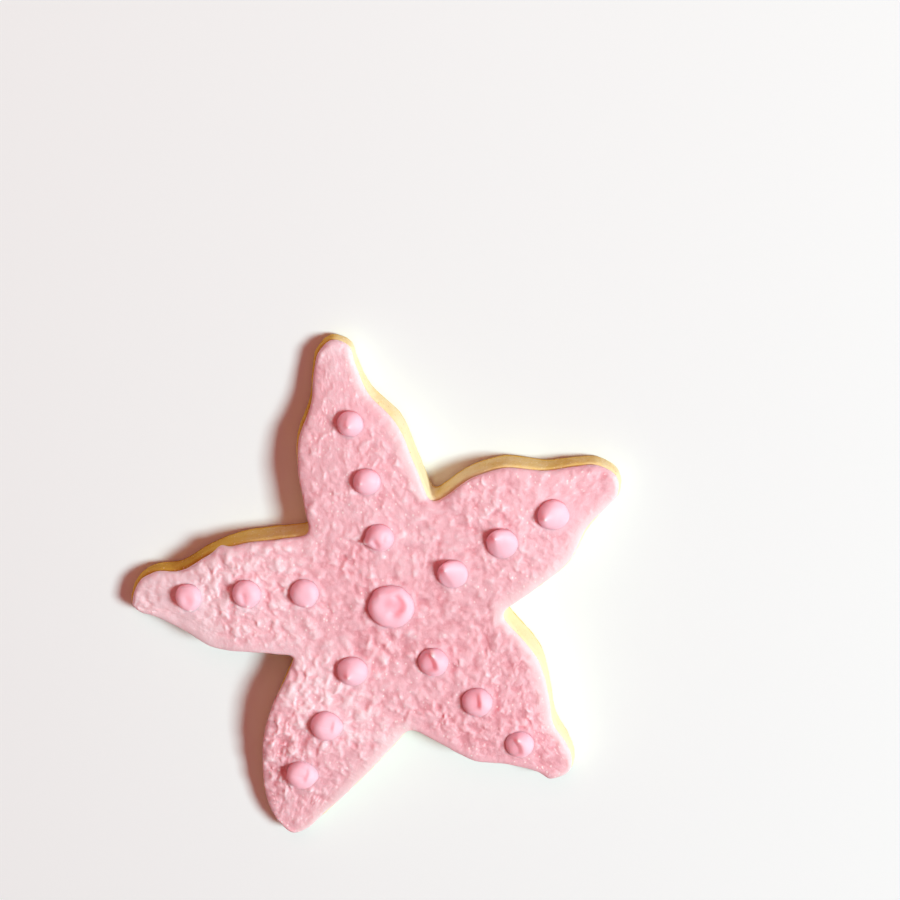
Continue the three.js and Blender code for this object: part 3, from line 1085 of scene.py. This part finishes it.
@dataclass
class IcingSkin:
    """The skin of icing: a swelling rim, which overhangs a little, and a dabbed field."""

    height: DoughHeight = field(default_factory=DoughHeight)
    dabs: Dabs = field(default_factory=Dabs)
    along: int = 124
    across: int = 104
    rim_rows: int = 12
    ring_step: int = 4
    tuck: float = -50.0
    setback: float = 0.4
    wobble: float = 0.22
    wobble_seed: int = 3
    cloud_size: float = 9.0
    cloud_seed: int = 8
    covers: tuple[Spot, ...] = (
        Spot((-25, -22), 13.0, 0.75), Spot((-18.5, -11), 5.0, 0.45), Spot((-12, 24), 9.0, 0.4),
        Spot((-8, 54), 7.0, 0.2))
    runs_over: tuple[Spot, ...] = (Spot((-33.5, 14.3), 1.6),)
    run_out: float = 0.9
    run_down: float = 1.3
    thickness: float = ICING_THICKNESS
    rim: float = 1.9
    belly: float = 0.55
    crown: float = 0.30
    crown_reach: float = 5.0
    smooth_side: float = -50.0
    # Painted light: edges that face this side are painted paler.
    lit_edge_side: float = -15.0
    groove: float = 0.01
    groove_width: float = 0.3
    groove_shade: float = 0.12
    calm: float = 0.85
    tip_rim: float = 0.9
    tip_reach: float = 9.0

    def setbacks(self, loop: Array) -> Array:
        """How far inside the dough's edge the icing starts, which wanders along the edge.

        Args:
            loop: the points of the dough's edge.

        Returns:
            One distance for each point.
        """
        wander = Grain(self.wobble_seed).layers(in_space(loop) / self.cloud_size, 2)
        further = sum(spot.at(loop) for spot in self.covers)
        return self.setback + self.wobble * wander - further

    def spills(self, loop: Array) -> Array:
        """How far the icing ran over the edge, from 0 to 1, at a few places."""
        return sum(spot.at(loop) for spot in self.runs_over)

    def build(self) -> bpy.types.Object:
        """Makes the icing's mesh.

        The rim is an ellipse carried round the edge, from under its belly to the level field.
        The field is the dough's height plus the icing's thickness, less a crown that falls off
        towards the edge, plus the dabs.

        Returns:
            The icing's object.
        """
        edge = CutterEdge(self.along, self.across)
        loop = edge.loop()
        inward = inwards(loop)
        spill = self.spills(loop)
        start = loop + (self.setbacks(loop) - self.run_out * spill)[:, None] * inward
        turns = np.radians(np.linspace(self.tuck, 90, self.rim_rows))
        rim = self.rim - self.tip_rim * self.at_tip(loop)
        plane = np.stack([start + (rim * (1 - np.cos(t)))[:, None] * inward for t in turns])
        # finish holds the edge's smoothness and its painted light.
        ring, finish = plane[-1][::self.ring_step], self.edge_smooth_and_lit(inward[::self.ring_step])
        rise = self.thickness - self.belly
        below = 1 + self.run_down * spill
        lift = self.belly + rise * np.sin(turns)[:, None] * np.where(turns[:, None] < 0, below, 1.0)
        inner, edge_smooth_and_lit = self.depth_smooth_and_lit(plane[-1], ring, finish)
        depth = rim * (1 - np.cos(turns))[:, None]
        depth[turns < 0] = 0
        depth[-1] = inner
        all_round = np.broadcast_to(edge_smooth_and_lit, (*lift.shape, 2))
        relief, lie, white = self.worked(plane, depth, all_round)
        rings = in_space(plane, self.height.at(plane) + lift + relief)
        shell = Shell(("lie", "white"))
        shell.rings(to_frame(rings), lie=lie, white=white)
        shell.lid(to_frame(rings[0]), False, lie=0.5, white=0.0)
        for net in star_nets(plane[-1], edge):
            relief, lie, white = self.worked(net, *self.depth_smooth_and_lit(net, ring, finish))
            points = in_space(net, self.height.at(net) + self.thickness + relief)
            shell.net(to_frame(points), lie=lie, white=white)
        return shell.build("icing_skin")

    def at_tip(self, loop: Array) -> Array:
        """How near each point of the edge is to an arm's tip, from 0 to 1."""
        return sum(bell(loop, polar(arm.bearing, arm.reach), self.tip_reach) for arm in ARMS)

    def edge_smooth_and_lit(self, inward: Array) -> Array:
        """How smooth each stretch of the edge is, and how pale it is painted where it faces the lamp,
        each from 0 to 1.

        Args:
            inward: the direction inwards at each point of the edge.

        Returns:
            A row of the two values for each point.
        """
        smooth = ease(-inward @ polar(self.smooth_side, 1), -0.35, 0.55)
        # Painted light: the side that faces the lamp is painted paler.
        pale = ease(-inward @ polar(self.lit_edge_side, 1), 0.1, 0.75)
        return np.column_stack([smooth, pale])

    def worked(self, places: Array, depth: Array, finish: Array) -> tuple[Array, Array, Array]:
        """The relief that the palette knife left on the field and rim.

        Each patch counts by its bell, the dabs' strength fades out towards the edge, and they
        lie calm under the drops. A groove runs round each drop and a crown falls to the edge.

        Args:
            places: points of the plane.
            depth: how far inside the icing's edge each point lies.
            finish: how smooth the nearest stretch of the edge is, and how pale it is painted where it
                faces the lamp.

        Returns:
            The relief, how each point lies among the dabs, and the share of white crumb and of the pale
            edge band, which is partly painted light.
        """
        smooth, pale = finish[..., 0], finish[..., 1]
        weights = [bell(places, patch.place, patch.reach) + LEAST_WEIGHT for patch in PATCHES]
        mixed = [sum(w * getattr(patch, name) for w, patch in zip(weights, PATCHES)) / sum(weights)
                 for name in ("rough", "strokes", "crumbs", "pale")]
        cloud = Grain(self.cloud_seed).layers(in_space(places) / self.cloud_size, 2)
        rough = np.clip(mixed[0] * (1 + 0.5 * cloud), 0.2, 1.3)
        rough = rough * ease(depth, -0.8 + 0.9 * smooth, 0.9 + 3.2 * smooth)
        crumbly = np.clip(mixed[2] + 0.8 * cloud, 0, 1) * ease(depth, 0.2, 0.8)
        strokes = np.clip(mixed[1] + 0.5 * cloud, 0, 1)
        lift, lie, white = self.dabs.at(places, rough, strokes, crumbly)
        seat, groove = self.near_drops(places)
        free = 1 - self.calm * seat
        relief = free * lift - self.groove * groove
        relief -= self.crown * np.exp(-depth / self.crown_reach) * ease(depth, 0, 1.5)
        # Painted light and shade in the lie value: the patches' pale, partly painted light, and
        # groove_shade, painted shade in the ring round each drop's foot.
        lie = 0.5 + (lie - 0.5) * free + mixed[3] - self.groove_shade * groove
        # A pale band along the edge: a lighter smooth outline all round, plus painted light on the side
        # that faces the lamp.
        pale = (0.12 + 0.5 * pale) * np.exp(-(depth / (1.6 + 1.6 * smooth)) ** 2)
        return relief, np.clip(lie, 0, 1), np.maximum(white * free, pale)

    def near_drops(self, places: Array) -> tuple[Array, Array]:
        """How far each point is under a drop, and in the groove round a drop's foot.

        Args:
            places: points of the plane.

        Returns:
            Two values for each point, each from 0 to 1.
        """
        seat = np.zeros(places.shape[:-1])
        groove = np.zeros(places.shape[:-1])
        for drop in (*DROPS, MIDDLE_DROP):
            gap = np.linalg.norm(places - np.array(drop.place), axis=-1) - drop.radius
            seat = np.maximum(seat, 1 - ease(gap, -0.2, 0.9))
            groove = np.maximum(groove, np.exp(-(gap / self.groove_width) ** 2))
        return seat, groove

    def depth_smooth_and_lit(self, places: Array, ring: Array, values: Array) -> tuple[Array, Array]:
        """How deep each place lies inside the icing's edge, and the edge's smoothness and painted light
        near it.

        Those are the means of the ring's values, weighted by 1 / (0.5 + distance)^5.

        Args:
            places: points of the plane.
            ring: the points where the rim ends.
            values: a row of values for each of them.

        Returns:
            The depth and the row of values at each place.
        """
        near = np.full(places.shape[:-1], np.inf)
        total = np.zeros((*places.shape[:-1], values.shape[1]))
        weights = np.zeros(places.shape[:-1])
        for start, end, value in zip(ring, np.roll(ring, -1, axis=0), values):
            way = end - start
            share = np.clip((places - start) @ way / (way @ way), 0, 1)
            gap = np.linalg.norm(places - start - share[..., None] * way, axis=-1)
            near = np.minimum(near, gap)
            weight = (0.5 + gap) ** -5
            total += weight[..., None] * value
            weights += weight
        return self.rim + near, total / weights[..., None]

    def dress(self, piece: bpy.types.Object) -> None:
        """Gives the icing its finish and lets it stand for its solid."""
        settle(piece, DabbedIcing().make())
        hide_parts("icing")


# ------------------------------------------------------------------ drops

class Mark(Enum):
    """What the nozzle left on a drop when it was drawn away."""

    NIB = "nib"
    GROOVE = "groove"
    DIMPLE = "dimple"
    FOLD = "fold"


@dataclass(frozen=True)
class Trace:
    """One mark on a drop, on the line between two places given in shares of the drop's radius.

    bend bows the line to its right. width and depth are shares of the radius and the height, and
    back is the share of its depth that a fold climbs back. A fold starts its lead before the line
    and dies out over its fade beyond the line's ends.
    """

    mark: Mark
    start: Place
    end: Place
    width: float
    depth: float
    bend: float = 0.0
    back: float = 0.8
    lead: float = 0.04
    fade: float = 0.25

    def lift(self, x: Array, y: Array) -> Array:
        """How much the mark raises or lowers the drop at places given in shares of its radius.

        A nib is a spike e^(-d/width) of the distance d from the line, a groove or dimple is a
        bell e^(-(d/width)^2), and a fold is a bank down to the right of the line, as wide as
        the mark, from which the drop climbs back over three widths more.

        Args:
            x: how far right each place lies.
            y: how far up in the plane it lies.

        Returns:
            The lift as a share of the drop's height.
        """
        start, end = np.array(self.start), np.array(self.end)
        way = end - start
        length = max(float(np.hypot(*way)), 1e-6)
        ahead = way / length if way.any() else np.array([1.0, 0.0])
        offset = np.stack([x - start[0], y - start[1]], axis=-1)
        along = offset @ ahead
        aside = offset @ np.array([ahead[1], -ahead[0]])
        share = np.clip(along / length, 0, 1)
        aside = aside - 4 * self.bend * share * (1 - share)
        beyond = along - np.clip(along, 0, length)
        gap = np.hypot(aside, beyond)
        if self.mark is Mark.NIB:
            return self.depth * np.exp(-gap / self.width)
        if self.mark is Mark.FOLD:
            kept = np.exp(-(beyond / self.fade) ** 2)
            climb = self.back * ease(aside, self.width, 4 * self.width)
            return -self.depth * kept * (ease(aside, -self.lead, self.width) - climb)
        return -self.depth * np.exp(-(gap / self.width) ** 2)


@dataclass(frozen=True)
class Drop:
    """One piped drop.

    place and radius say where it stands. apex is where its top stands, in shares of its radius,
    point how far that is drawn up, and flat how much it sank back, from 0 to 1. tail is the
    bearing, length and spread of a tail at its foot.
    """

    place: Place
    radius: float
    apex: Place = (0.0, 0.0)
    point: float = 0.0
    flat: float = 0.0
    height: float = 2.7
    tail: Triple = (0.0, 0.0, 0.3)
    marks: tuple[Trace, ...] = ()


NIB_WIDTH = 0.12


def nib(x: float, y: float, size: float) -> Trace:
    """A small spike at a place on a drop."""
    return Trace(Mark.NIB, (x, y), (x, y), NIB_WIDTH, size)


DROPS = (
    Drop((13.2, 9.8), 3, (-0.50, 0.58), 0.24, marks=(
        Trace(Mark.FOLD, (-0.50, 0.58), (0.1, -0.5), 0.5, 0.2, 0.0, 0.3), nib(-0.50, 0.60, 0.12))),
    Drop((23, 16.5), 3.1, (-0.45, 0.62), 0.22, marks=(
        Trace(Mark.FOLD, (0.2, 1.0), (-0.45, 0.64), 0.4, 0.18, 0.0, 0.3),
        Trace(Mark.FOLD, (-0.45, 0.64), (-0.3, -0.4), 0.5, 0.2, 0.0, 0.2), nib(-0.45, 0.65, 0.14))),
    Drop((33, 22.2), 3.1, (-0.52, 0.02), 0.14, 0.1, marks=(
        Trace(Mark.FOLD, (0.14, 0.95), (-0.56, 0.02), 0.5, 0.24, 0.0, 0.3), nib(-0.56, 0.0, 0.2))),
    Drop((-1.2, 17.4), 2.82, (0.04, 0.05), 0.0, 0.45, 2.5, (198.0, 0.2, 0.2), (
        Trace(Mark.DIMPLE, (-0.34, -0.12), (-0.22, -0.34), 0.24, 0.2),
        Trace(Mark.GROOVE, (0.42, 0.4), (0.32, 0.05), 0.16, 0.05),
        nib(-1.06, -0.3, 0.34))),
    Drop((-3.5, 29.1), 2.68, (-0.15, 0.1), 0.04, 0.4, 2.4, marks=(
        Trace(Mark.FOLD, (-0.3, 0.8), (-0.5, 0.1), 0.4, 0.08), nib(-0.42, 0.14, 0.14))),
    Drop((-6.7, 40.5), 2.57, (-0.05, 0.05), 0.06, 0.2, 2.5, marks=(
        Trace(Mark.FOLD, (-0.1, 0.95), (-0.3, 0.0), 0.26, 0.11), nib(-0.08, 0.06, 0.18))),
    Drop((-16.4, 5.2), 2.89, (0.05, -0.1), 0.0, 0.6, 2.2, (290.0, 0.08, 0.4), (
        Trace(Mark.DIMPLE, (0.1, 0.2), (0.12, 0.1), 0.4, 0.04), nib(0.2, -0.74, 0.18))),
    Drop((-28, 4.8), 2.9, (0.0, 0.0), 0.0, 0.65, 2.2, (285.0, 0.05, 0.35), (
        Trace(Mark.DIMPLE, (-0.2, 0.5), (-0.2, 0.1), 0.34, 0.12),
        Trace(Mark.GROOVE, (-0.2, 0.1), (-0.1, -0.35), 0.18, 0.08),
        nib(0.12, -0.7, 0.2))),
    Drop((-39.9, 3.3), 2.7, (0.03, -0.1), 0.0, 0.65, 2.1, (283.0, 0.14, 0.5), (
        Trace(Mark.DIMPLE, (-0.18, 0.55), (-0.04, -0.1), 0.38, 0.12), nib(0.14, -0.96, 0.24))),
    Drop((-7.1, -11.7), 3.09, (-0.15, -0.05), 0.06, 0.15, marks=(
        Trace(Mark.FOLD, (-0.1, 0.65), (-0.24, -0.12), 0.4, 0.18, 0.1), nib(-0.23, -0.12, 0.2))),
    Drop((-12.7, -24.1), 3.16, (-0.1, 0.0), 0.0, 0.25, 2.6, (354.0, 0.12, 0.45), (
        Trace(Mark.FOLD, (0.66, 0.5), (0.56, 0.1), 0.24, 0.2, 0.0, 0.45),)),
    Drop((-18.1, -36), 3.16, (-0.1, 0.0), 0.0, 0.3, 2.5, (356.0, 0.10, 0.45), (
        Trace(Mark.FOLD, (0.56, 0.5), (0.4, 0.0), 0.24, 0.2, -0.06, 0.45),)),
    Drop((9.2, -9.4), 3.03, (0.05, 0.2), 0.0, 0.2, 2.8, marks=(
        Trace(Mark.FOLD, (-0.04, 0.95), (0.36, 0.05), 0.45, 0.34, -0.08, 0.5), nib(-0.07, 0.86, 0.24),
        nib(0.02, 0.76, 0.14))),
    Drop((18, -18.1), 3.09, (0.1, 0.1), 0.0, 0.25, marks=(
        Trace(Mark.FOLD, (0.20, 0.95), (0.32, 0.1), 0.34, 0.3, -0.03, 0.55),)),
    Drop((26.6, -27.9), 2.95, (0.05, 0.1), 0.03, 0.2, marks=(
        Trace(Mark.FOLD, (-0.10, 0.64), (0.3, -0.2), 0.45, 0.28, -0.12, 0.45), nib(-0.09, 0.64, 0.2))),
)
MIDDLE_DROP = Drop((0.9, 2.6), 4.58, (0.0, 0.0), 0.0, 0.75, 2.6, marks=(
    Trace(Mark.FOLD, (0.45, 0.92), (-0.5, 0.68), 0.16, 0.14, -0.05),
    Trace(Mark.DIMPLE, (-0.10, 0.26), (0.12, 0.2), 0.50, 0.34),
    Trace(Mark.GROOVE, (0.26, 0.58), (0.16, -0.16), 0.22, 0.17, -0.26),
    nib(-0.5, 0.68, 0.14)))


@dataclass
class PipedDrops:
    """The piped drops, each a bulb drawn up to its own kind of peak."""

    height: DoughHeight = field(default_factory=DoughHeight)
    around: int = 72
    rows: int = 44
    icing: float = ICING_THICKNESS
    root: float = 0.2
    middle_root: float = 0.1
    wave: float = 0.03
    wave_height: float = 0.05
    wave_size: float = 2.6
    broadening: float = 0.5
    sinking: float = 0.8
    peak_width: float = 0.2
    slimming: float = 0.6
    tail_fade: float = 0.7
    lean_power: float = 1.8
    seed: int = 31

    def surface(self, drop: Drop, grain: Grain) -> tuple[Array, Array]:
        """Rings of points from a drop's foot to its top.

        A ring's radius is the cosine of a turn, to a power that flattens the drop, and its
        height the sine. The upper rings shift towards the apex and are drawn up to a point,
        and the marks then raise and lower them.

        Args:
            drop: the drop.
            grain: the noise that keeps it from being a perfect bulb.

        Returns:
            The points, seen from the drop's middle, and how clear of its foot and its marks
            each one stands.
        """
        turn = np.radians(np.linspace(0, 90, self.rows))[:, None]
        angle = np.linspace(0, 2 * np.pi, self.around, endpoint=False)[None, :]
        climb = np.broadcast_to(np.sin(turn), (self.rows, self.around))
        out = np.cos(turn) ** (1 - self.broadening * drop.flat) * np.ones_like(angle)
        up = climb * (1 - self.sinking * drop.point) + drop.point * np.exp(-out / self.peak_width)
        out = out * (1 - self.slimming * drop.point * climb ** 3)
        bearing, length, spread = drop.tail
        off = (angle - np.radians(bearing) + np.pi) % (2 * np.pi) - np.pi
        reach = 1 + length * np.exp(-(off / spread) ** 2) * (1 - self.tail_fade * climb)
        lean = climb[..., None] ** self.lean_power * np.array(drop.apex)
        ring = np.stack([np.cos(angle) * out * reach, np.sin(angle) * out * reach], axis=-1) + lean
        top = ease(climb, 0.3, 0.7)
        spikes, dents = np.zeros_like(up), np.zeros_like(up)
        for trace in drop.marks:
            kept = spikes if trace.mark is Mark.NIB else dents
            kept += trace.lift(ring[..., 0], ring[..., 1])
        up = up * (1 + dents) + spikes * ease(climb, 0.0, 0.25)
        points = in_space(drop.radius * ring, drop.height * up)
        wave = grain.layers(points / self.wave_size + np.array([*drop.place, 0.0]), 2)
        points[..., :2] *= (1 + self.wave * wave)[..., None]
        points[..., 2] += self.wave_height * wave * top
        # Painted shade and highlight: clear is low at the foot and falls in the dents, which the
        # material paints darker, and the nibs lift it above one for a painted highlight.
        clear = 0.4 + 0.55 * ease(climb, 0.0, 0.16) + 0.8 * top * dents + 2.5 * spikes
        return points, np.clip(clear, 0, 1.4)

    def add(self, shell: Shell, drop: Drop, root: float, grain: Grain) -> None:
        """Adds a drop to a shell: its rings, a closed peak and a closed foot.

        Args:
            shell: the shell that takes the drop.
            drop: the drop.
            root: how deep its foot goes into the icing.
            grain: the noise that keeps it from being a perfect bulb.
        """
        points, clear = self.surface(drop, grain)
        place = np.array(drop.place)
        foot = self.height.at(place) + self.icing
        points = points + np.array([*place, foot])
        points[-1] = points[-1].mean(axis=0)
        clear[-1] = clear[-1].mean()
        sunk = points[:1] - np.array([0.0, 0.0, root])
        base = np.broadcast_to(sunk[0].mean(axis=0), sunk.shape)
        rings = to_frame(np.concatenate([base, sunk, points]))
        shell.rings(rings, clear=np.concatenate([clear[:1], clear[:1], clear]))

    def build(self) -> tuple[bpy.types.Object, bpy.types.Object]:
        """Makes the small drops as one mesh and the middle drop as another.

        Returns:
            The small drops' object and the middle drop's.
        """
        grain = Grain(self.seed)
        small = Shell(("clear",))
        for drop in DROPS:
            self.add(small, drop, self.root, grain)
        middle = Shell(("clear",))
        self.add(middle, MIDDLE_DROP, self.middle_root, grain)
        return small.build("small_drops"), middle.build("middle_swirl")

    def dress(self, small: bpy.types.Object, middle: bpy.types.Object) -> None:
        """Gives the drops their finish and lets them stand for their solids.

        Args:
            small: the small drops' object.
            middle: the middle drop's object.
        """
        finish = PipedIcing().make()
        settle(small, finish)
        settle(middle, finish)
        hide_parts("icing")
        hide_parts("middle_drop")


# ------------------------------------------------------------------ table, light and camera

@dataclass(frozen=True)
class Table:
    """The plain table top that the cookie lies on."""

    half_width: float = 1500.0

    def build(self) -> None:
        """Makes the table and leaves it out of the object."""
        w = self.half_width
        shell = Shell()
        shell.net(np.array([[[-w, -w, 0.0], [w, -w, 0.0]], [[-w, w, 0.0], [w, w, 0.0]]]))
        table = shell.build("table_top")
        table.data.materials.append(PaleTable().make())


@dataclass(frozen=True)
class Lamp:
    """A soft square lamp, aimed at the cookie."""

    name: str
    bearing: float
    elevation: float
    distance: float
    width: float
    watts: float
    colour: Colour = (1.0, 1.0, 1.0)

    def build(self) -> None:
        """Hangs the lamp and turns it to the cookie."""
        data = bpy.data.lights.new(self.name, "AREA")
        data.size = self.width * MM
        data.energy = self.watts
        data.color = self.colour
        lamp = bpy.data.objects.new(self.name, data)
        flat = polar(self.bearing, np.cos(np.radians(self.elevation)))
        away = Vector((*flat, np.sin(np.radians(self.elevation))))
        lamp.location = away * self.distance * MM
        lamp.rotation_euler = away.to_track_quat("Z", "Y").to_euler()
        bpy.context.collection.objects.link(lamp)


LAMPS = (
    Lamp("window", 2, 47, 2000, 560, 45.0, (0.88, 1.0, 1.0)),
    Lamp("sky", 95, 50, 2000, 1300, 7.2, (1.0, 0.42, 0.36)),
)


@dataclass(frozen=True)
class Surroundings:
    """The even light of the room."""

    colour: Colour = (1.0, 0.20, 0.17)
    strength: float = 0.26

    def build(self) -> None:
        """Makes the world and sets how colours are shown."""
        world = bpy.data.worlds.new("room")
        world.use_nodes = True
        back = world.node_tree.nodes["Background"]
        back.inputs["Color"].default_value = (*self.colour, 1.0)
        back.inputs["Strength"].default_value = self.strength
        bpy.context.scene.world = world
        bpy.context.scene.view_settings.view_transform = "Standard"


@dataclass(frozen=True)
class Viewpoint:
    """The camera: leaning from above towards the second axis, with the cookie low in the frame.

    lean and side tell how far it leans from upright and towards which side. The place where the
    arms meet shows at `column` and `row` of a square of `pixels`, at `scale` pixels to the
    millimetre.
    """

    lean: float = 24.0
    side: float = 9.5
    distance: float = 500.0
    scale: float = 4.915
    column: float = 390.0
    row: float = 600.0
    pixels: float = 900.0
    sensor: float = 36.0
    near: float = 0.01

    def build(self) -> None:
        """Places the camera and makes it the scene's own."""
        tilt = Matrix.Rotation(-np.radians(self.side), 3, "Z") @ Matrix.Rotation(
            -np.radians(self.lean), 3, "X") @ Matrix.Rotation(np.radians(self.side), 3, "Z")
        focal = self.scale * self.distance
        middle = self.pixels / 2
        shown = Vector(((self.column - middle) / focal, (middle - self.row) / focal, -1)).normalized()
        ahead = Vector((0, 0, -1))
        aside = ahead.rotation_difference(shown).to_matrix()
        turned = tilt @ aside.transposed()
        data = bpy.data.cameras.new("view")
        data.sensor_width = self.sensor
        data.lens = focal / self.pixels * self.sensor
        data.clip_start = self.near
        camera = bpy.data.objects.new("view", data)
        place = tilt @ Vector((0, 0, self.distance)) - Vector((*MIDDLE, 0))
        camera.matrix_world = Matrix.Translation(place * MM) @ turned.to_4x4()
        bpy.context.collection.objects.link(camera)
        bpy.context.scene.camera = camera


# ------------------------------------------------------------------ main

def report(piece: bpy.types.Object) -> None:
    """Logs a piece's name and how many faces it has."""
    log.info("%s: %d faces", piece.name, len(piece.data.polygons))


def main() -> None:
    """Builds the cookie piece by piece, and then its table, light and camera."""
    logging.basicConfig(level=logging.INFO, format="%(name)s %(message)s")
    slab = DoughSlab()
    dough = slab.build()
    slab.dress(dough)
    report(dough)
    skin = IcingSkin()
    icing = skin.build()
    skin.dress(icing)
    report(icing)
    piping = PipedDrops()
    drops = piping.build()
    piping.dress(*drops)
    for piece in drops:
        report(piece)
    Table().build()
    for lamp in LAMPS:
        lamp.build()
    Surroundings().build()
    Viewpoint().build()


if __name__ == "__main__":
    main()
